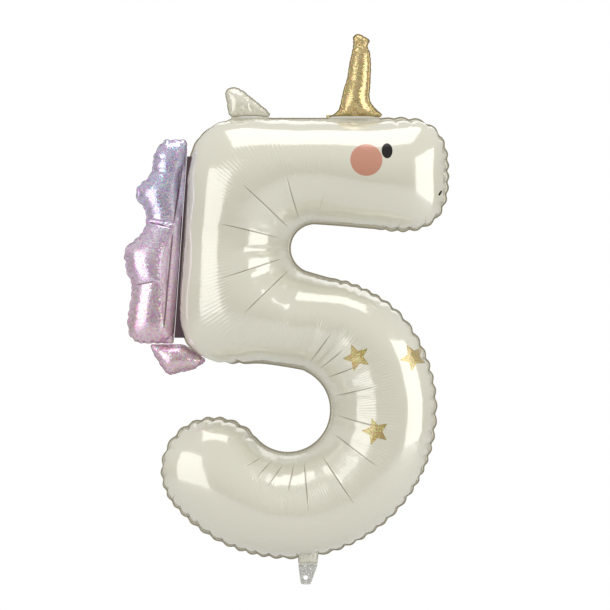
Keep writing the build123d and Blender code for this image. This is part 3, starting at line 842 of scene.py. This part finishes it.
def makeCream(name, spec, printed=False, folds=(), pitch=0.0042, strength=1.0):
    c = cream
    material, tree, shader = newMaterial(
        name, Metallic=c["metallic"], Roughness=c["roughness"], Coat_Weight=c["coat"], Coat_Roughness=c["coatRoughness"], Coat_IOR=c["coatIndex"])
    place = tree.nodes.new("ShaderNodeTexCoord").outputs["Object"]
    normal, crease = addRelief(tree, shader, spec["scallopLength"], pitch, strength, folds)
    colour = mixColour(tree, pointValue(tree, "weld"), c["base"], c["weld"])
    # painted shade: the fold and scallop valleys are darkened toward the crease colour
    colour = mixColour(tree, smoothStep(tree, crease, 0.1, 0.95), colour, c["crease"])
    if printed:
        flakes = useGroup(tree, sparkle, Vector=place, Scale=800.0, Lean=0.4, Normal=normal)
        masks = {}
        masks["eye"] = useGroup(tree, ovalMask, Position=place, Centre=c["eye"][0], Turn=0.0, Power=2.0, **{
            "Half Width": c["eye"][1], "Half Height": c["eye"][2]})["Mask"]
        masks["nostril"] = useGroup(tree, ovalMask, Position=place, Centre=c["nostril"][0], Turn=c["nostril"][3], Power=2.6, **{
            "Half Width": c["nostril"][1], "Half Height": c["nostril"][2]})["Mask"]
        masks["cheek"] = useGroup(tree, ovalMask, Position=place, Centre=c["cheek"][0], Turn=0.0, Power=2.0, **{
            "Half Width": c["cheek"][1], "Half Height": c["cheek"][1]})["Mask"]
        black = calc(tree, "MAXIMUM", masks["eye"], masks["nostril"])
        star = None
        for centre, turn in c["stars"]:
            one = useGroup(tree, starMask, Position=place, Centre=centre, Radius=c["starRadius"], Turn=turn)["Mask"]
            star = one if star is None else calc(tree, "MAXIMUM", star, one)
        gold = mixColour(tree, 0.30, c["star"], flakes["Hue"], "OVERLAY")
        colour = mixColour(tree, masks["cheek"], colour, c["blush"])
        colour = mixColour(tree, star, colour, gold)
        colour = mixColour(tree, black, colour, c["ink"])
        glitter = calc(tree, "MAXIMUM", star, calc(tree, "MULTIPLY", masks["cheek"], 0.5))
        tilted = tree.nodes.new("ShaderNodeMix")
        tilted.data_type = "VECTOR"
        link(tree, glitter, tilted.inputs[0])
        link(tree, normal, tilted.inputs[4])
        link(tree, flakes["Normal"], tilted.inputs[5])
        link(tree, tilted.outputs[1], shader.inputs["Normal"])
        metal = calc(tree, "ADD", calc(tree, "MULTIPLY", star, 0.5), c["metallic"])
        link(tree, calc(tree, "MULTIPLY", metal, calc(tree, "SUBTRACT", 1.0, black)), shader.inputs["Metallic"])
        link(tree, calc(tree, "MULTIPLY", calc(tree, "SUBTRACT", 1.0, black), c["coat"]), shader.inputs["Coat Weight"])
    link(tree, colour, shader.inputs["Base Color"])
    return material


mane = {
    "outline": [
        (-208.0, 745.0), (-208.0, 754.0), (-208.5, 762.0), (-212.5, 767.5), (-220.0, 768.8), (-231.5, 766.0), (-241.9, 767.7), (-252.0, 762.5), (-257.1, 754.1),
        (-263.9, 745.5), (-267.4, 728.5), (-269.0, 714.9), (-275.8, 701.2), (-291.2, 687.6), (-298.0, 674.1),
        (-293.0, 660.5), (-282.6, 646.8), (-279.3, 633.2), (-280.9, 616.2), (-289.5, 600.8), (-303.1, 588.9),
        (-313.3, 578.7), (-318.3, 565.1), (-315.0, 551.4), (-315.0, 537.8), (-306.4, 520.8), (-304.9, 503.8),
        (-306.4, 486.9), (-309.9, 466.4), (-311.7, 445.9), (-309.9, 428.9), (-299.6, 415.3), (-286.1, 411.0),
        (-272.5, 410.6), (-250.0, 410.6), (-231.5, 410.6),
    ],
    "mesh": 0.0029, "margin": 0.0018, "outlineIsWeld": True, "scallopLength": 0.0150, "scallopDepth": 0.0036, "calm": [(1, -0.07, -0.268)],
    "folded": [(1, -0.07, -0.25989), (0, -1, -0.4099)],
    "grooveLength": 0.018, "grooveDepth": 0.0020,
    "convexBend": 4.0, "leastScallop": 0.7, "plump": 0.72, "widest": 0.040, "slack": (1.12, 1.08),
    "pressure": 1.4e-5, "crush": 0.35, "stiffness": 0.12, "drag": 0.93, "steps": 240, "settle": 40, "noise": 0.0002, "seed": 11,
    "folds": [
        ((-0.2150, 0.7250), (-0.2310, 0.6180), 0.0060), ((-0.2320, 0.6060), (-0.2480, 0.4350), 0.0070),
        ((-0.2400, 0.6150), (-0.2750, 0.6230), 0.0060), ((-0.2560, 0.5200), (-0.3020, 0.5120), 0.0030),
    ],
    "top": (0.59, 0.54, 0.80, 1), "middle": (0.75, 0.59, 0.79, 1), "low": (0.72, 0.52, 0.64, 1),
}

lock = {
    "outline": [
        (-271.0, 408.9), (-267.4, 394.8), (-257.1, 377.8), (-248.7, 362.9), (-236.8, 356.0), (-221.4, 360.0),
        (-197.6, 365.0), (-176.0, 380.0), (-183.9, 389.0), (-197.6, 399.0), (-216.3, 408.9), (-243.0, 408.9),
    ],
    "mesh": 0.0020, "margin": 0.0025, "outlineIsWeld": True, "scallopLength": 0.0110, "scallopDepth": 0.0022, "calm": [(0, 1, 0.402)],
    "folded": [(0, 1, 0.4093)],
    "grooveLength": 0.010, "grooveDepth": 0.0012,
    "convexBend": 4.0, "leastScallop": 0.8, "plump": 0.7, "widest": 0.030, "slack": (1.16, 1.16),
    "pressure": 1.2e-5, "crush": 0.35, "stiffness": 0.08, "drag": 0.93, "steps": 200, "settle": 40, "noise": 0.0003, "seed": 3, "folds": [],
}

horn = {
    "outline": [
        (34.0, 808.1), (47.0, 811.0), (58.0, 821.0), (62.5, 838.0), (66.9, 857.5), (72.0, 872.4), (76.8, 902.1),
        (82.0, 925.0), (83.5, 938.0), (82.5, 947.0), (88.0, 951.5), (94.0, 953.0), (104.0, 947.5), (113.2, 942.0),
        (110.0, 936.0), (108.5, 931.0), (112.7, 919.5), (114.4, 894.8), (113.4, 865.0), (112.4, 837.8), (121.0, 823.9),
        (136.0, 808.1), (110.0, 808.1), (84.0, 808.1), (60.0, 808.1),
    ],
    "mesh": 0.0021, "margin": 0.0028, "outlineIsWeld": True, "scallopLength": 0.0085, "scallopDepth": 0.0011, "calm": [(0, -1, -0.812)],
    "grooveLength": 0.009, "grooveDepth": 0.0012,
    "convexBend": 5.0, "leastScallop": 0.75, "plump": 0.85, "widest": 0.026, "slack": (1.12, 1.08),
    "pressure": 1.2e-5, "crush": 0.35, "stiffness": 0.12, "drag": 0.93, "steps": 240, "settle": 40, "noise": 0.0002, "seed": 8,
    "folds": [
        ((0.0850, 0.8115), (0.0870, 0.8330), 0.0060), ((0.0830, 0.9370), (0.1060, 0.9345), 0.0050),
        ((0.1230, 0.8120), (0.1120, 0.8280), 0.0030), ((0.0560, 0.8140), (0.0700, 0.8290), 0.0030),
    ],
    "base": (0.66, 0.52, 0.24, 1), "weld": (0.34, 0.24, 0.08, 1),
}

ear = {
    "outline": [
        (-131.5, 808.2), (-136.3, 820.4), (-137.9, 834.0), (-141.0, 847.7), (-137.0, 856.0), (-127.8, 860.0),
        (-112.4, 854.5), (-98.9, 844.2), (-81.7, 830.7), (-66.0, 817.0), (-62.0, 808.2), (-85.0, 808.2), (-110.0, 808.2),
    ],
    "mesh": 0.0020, "margin": 0.0026, "outlineIsWeld": True, "scallopLength": 0.0100, "scallopDepth": 0.0014, "calm": [(0, -1, -0.812)],
    "grooveLength": 0.009, "grooveDepth": 0.0010,
    "convexBend": 5.0, "leastScallop": 0.6, "plump": 0.62, "widest": 0.022, "slack": (1.07, 1.05),
    "pressure": 1.2e-5, "crush": 0.35, "stiffness": 0.12, "drag": 0.93, "steps": 200, "settle": 40, "noise": 0.0002, "seed": 4,
    "folds": [((-0.1120, 0.8110), (-0.1100, 0.8420), 0.0035), ((-0.0900, 0.8110), (-0.1020, 0.8330), 0.0030)],
}

neck = {
    "outline": [
        (-17.0, 56.0), (-15.5, 46.0), (-13.5, 36.0), (-12.6, 26.0), (-11.5, 24.0), (4.0, 23.9), (19.5, 24.0), (20.6, 26.0),
        (21.5, 36.0), (23.5, 46.0), (25.0, 56.0), (4.0, 57.0),
    ],
    "mesh": 0.0013, "margin": 0.0012, "outlineIsWeld": True, "scallopLength": 0.0060, "scallopDepth": 0.0006,
    "grooveLength": 0.007, "grooveDepth": 0.0008,
    "convexBend": 5.0, "leastScallop": 0.7, "plump": 0.42, "widest": 0.016, "slack": (1.22, 1.06),
    "pressure": 6e-6, "crush": 0.35, "stiffness": 0.06, "drag": 0.93, "steps": 160, "settle": 40, "noise": 0.0003, "seed": 6,
    "folds": [((0.0000, 0.0500), (-0.0020, 0.0270), 0.0024), ((0.0100, 0.0500), (0.0120, 0.0280), 0.0020),
              ((-0.0080, 0.0500), (-0.0085, 0.0300), 0.0018)],
}


def makeManeFoil():
    material, tree, shader = newMaterial(
        "maneFoil", Metallic=0.85, Roughness=0.2, Coat_Weight=1.0, Coat_Roughness=0.07, Coat_IOR=2.1)
    place = tree.nodes.new("ShaderNodeTexCoord").outputs["Object"]
    normal, crease = addRelief(tree, shader, mane["scallopLength"], 0.0030, 0.8, mane["folds"])
    height = split(tree, place)[2]
    ramp = mixColour(tree, smoothStep(tree, height, 0.69, 0.56), mane["top"], mane["middle"])
    ramp = mixColour(tree, smoothStep(tree, height, 0.56, 0.42), ramp, mane["low"])
    flakes = useGroup(tree, sparkle, Vector=place, Scale=720.0, Lean=0.27, Normal=normal)
    colour = mixColour(tree, 0.75, ramp, flakes["Hue"], "OVERLAY")
    # painted shade: the fold and scallop valleys are darkened toward deep plum, and the weld edge is darkened with them
    shade = calc(tree, "MAXIMUM", calc(tree, "MULTIPLY", pointValue(tree, "weld"), 0.6), smoothStep(tree, crease, 0.2, 1.6))
    link(tree, mixColour(tree, shade, colour, (0.16, 0.05, 0.1, 1)), shader.inputs["Base Color"])
    link(tree, flakes["Normal"], shader.inputs["Normal"])
    return material


def makeGoldFoil():
    material, tree, shader = newMaterial(
        "goldFoil", Metallic=0.92, Roughness=0.2, Coat_Weight=0.8, Coat_Roughness=0.06, Coat_IOR=1.8)
    place = tree.nodes.new("ShaderNodeTexCoord").outputs["Object"]
    normal, crease = addRelief(tree, shader, horn["scallopLength"], 0.0026, 0.6)
    flakes = useGroup(tree, sparkle, Vector=place, Scale=750.0, Lean=0.3, Normal=normal)
    colour = mixColour(tree, pointValue(tree, "weld"), horn["base"], horn["weld"])
    link(tree, mixColour(tree, 0.3, colour, flakes["Hue"], "OVERLAY"), shader.inputs["Base Color"])
    link(tree, flakes["Normal"], shader.inputs["Normal"])
    return material


def makeClearFilm():
    material, tree, shader = newMaterial("clearFilm", Metallic=0.7, Roughness=0.25, Base_Color=(0.62, 0.62, 0.6, 1), Alpha=0.75)
    place = tree.nodes.new("ShaderNodeTexCoord").outputs["Object"]
    normal = tree.nodes.new("ShaderNodeNewGeometry").outputs["Normal"]
    flakes = useGroup(tree, sparkle, Vector=place, Scale=700.0, Lean=0.8, Normal=normal)
    link(tree, flakes["Normal"], shader.inputs["Normal"])
    return material


bodyFolds = notchFolds + bowlFolds
creamPrinted = makeCream("creamPrinted", numeral, True, bodyFolds)
creamPlain = makeCream("creamPlain", numeral, False, bodyFolds)
creamLobe = makeCream("creamLobe", ear, pitch=0.0022, strength=0.3)
maneFoil, goldFoil, clearFilm = makeManeFoil(), makeGoldFoil(), makeClearFilm()
report("materials")


# the pieces

rows = numeralSections()
numeralOutline = np.vstack([rows[:, :2], rows[::-1, 2:4]])
makeChamber("numeral", numeral, numeralOutline, layNumeral, bodyFolds, "body",
            [creamPrinted, creamPlain], "body")


def outlineOf(spec):
    return smoothLoop(np.array(spec["outline"]) / 1000, 8)


def makeLobe(name, spec, body, materials, replaced):
    return makeChamber(name, spec, outlineOf(spec), layPillow(spec), spec["folds"], body, materials, replaced)


makeLobe("mane", mane, "mane", [maneFoil], "mane")
makeLobe("lock", lock, "mane_lock", [maneFoil], "mane_lock")
makeLobe("horn", horn, "horn", [goldFoil], "horn")
makeLobe("ear", ear, "ear", [creamLobe], "ear")
makeLobe("neck", neck, "body", [creamLobe], "body")


# flat CAD films keep their shape and take a finish; the mane root strip instead gets a painted shadow, dark like the
# gap between mane and body

def flatFilm(name, **settings):
    return newMaterial(name, **settings)[0]


creamFlat = flatFilm("creamFlat", Metallic=0.4, Roughness=0.25, Base_Color=cream["base"])
# painted shadow: the mane root strip is coloured near black as the shadow gap between mane and body
maneRootShadow = flatFilm("maneRootShadow", Metallic=0.6, Roughness=0.3, Base_Color=(0.12, 0.08, 0.10, 1))
valveFilm = flatFilm("valveFilm", Metallic=0.2, Roughness=0.35, Base_Color=(0.7, 0.7, 0.68, 1))
filmFinishesAndShadow = {
    "mane_root_strip": maneRootShadow, "horn_root_strip": creamFlat, "ear_root_strip": creamFlat,
    "valve_front_film": valveFilm, "valve_back_film": valveFilm, "tie_tab": clearFilm,
}
for node, material in filmFinishesAndShadow.items():
    film = bpy.data.objects[node]
    film.data.materials.clear()
    film.data.materials.append(material)
report("flat films")


# floor, light and camera

def makeFloor():
    bpy.ops.mesh.primitive_plane_add(size=1, location=(0, 0, -0.3))
    floor = bpy.context.object
    floor.name = "floor"
    floor.scale = (9, 5, 1)
    bpy.ops.object.transform_apply(location=False, rotation=False, scale=True)
    material, tree, shader = newMaterial("floorWhite", Roughness=0.6, Base_Color=(0.7, 0.7, 0.7, 1))
    floor.data.materials.append(material)
    return floor


def addSoftbox(name, place, size, power, colour):
    data = bpy.data.lights.new(name, "AREA")
    data.shape = "RECTANGLE"
    data.size, data.size_y = size
    data.energy = power
    data.color = colour
    lamp = bpy.data.objects.new(name, data)
    bpy.context.collection.objects.link(lamp)
    lamp.location = place
    lamp.rotation_euler = (Vector((0, 0, 0.5)) - Vector(place)).to_track_quat("-Z", "Y").to_euler()
    lamp.visible_camera = False


def makeWorld():
    # white behind the object, a studio that darkens downwards for what it reflects
    world = bpy.data.worlds.new("studio")
    bpy.context.scene.world = world
    world.use_nodes = True
    tree = world.node_tree
    background = tree.nodes["Background"]
    height = split(tree, tree.nodes.new("ShaderNodeTexCoord").outputs["Generated"])[2]
    tone = mixColour(tree, smoothStep(tree, height, -0.5, 0.6), (0.32, 0.30, 0.245, 1), (0.66, 0.65, 0.61, 1))
    seen = tree.nodes.new("ShaderNodeLightPath").outputs["Is Camera Ray"]
    link(tree, mixColour(tree, seen, tone, (1, 1, 1, 1)), background.inputs["Color"])
    background.inputs["Strength"].default_value = 1.0


makeFloor()
makeWorld()
addSoftbox("topBox", (0.0, -0.41, 2.7), (2.2, 1.7), 18.5, (1.0, 1.0, 1.0))
addSoftbox("leftBox", (-1.73, -1.35, 0.6), (1.78, 2.0), 16.0, (1.0, 1.0, 1.0))
addSoftbox("rightBox", (2.0, -0.88, 0.6), (1.7, 2.0), 19.0, (1.0, 1.0, 1.0))
addSoftbox("backBox", (0.3, 2.4, 2.2), (2.4, 1.8), 8.0, (1.0, 1.0, 1.0))

cameraData = bpy.data.cameras.new("camera")
cameraData.sensor_width = 36
cameraData.lens = 202.0
camera = bpy.data.objects.new("camera", cameraData)
bpy.context.collection.objects.link(camera)
camera.location = (-0.0012, -6.0, 0.4778)
camera.rotation_euler = (math.pi / 2, 0, 0)
bpy.context.scene.camera = camera
bpy.context.scene.view_settings.view_transform = "Standard"

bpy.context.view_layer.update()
report("done")
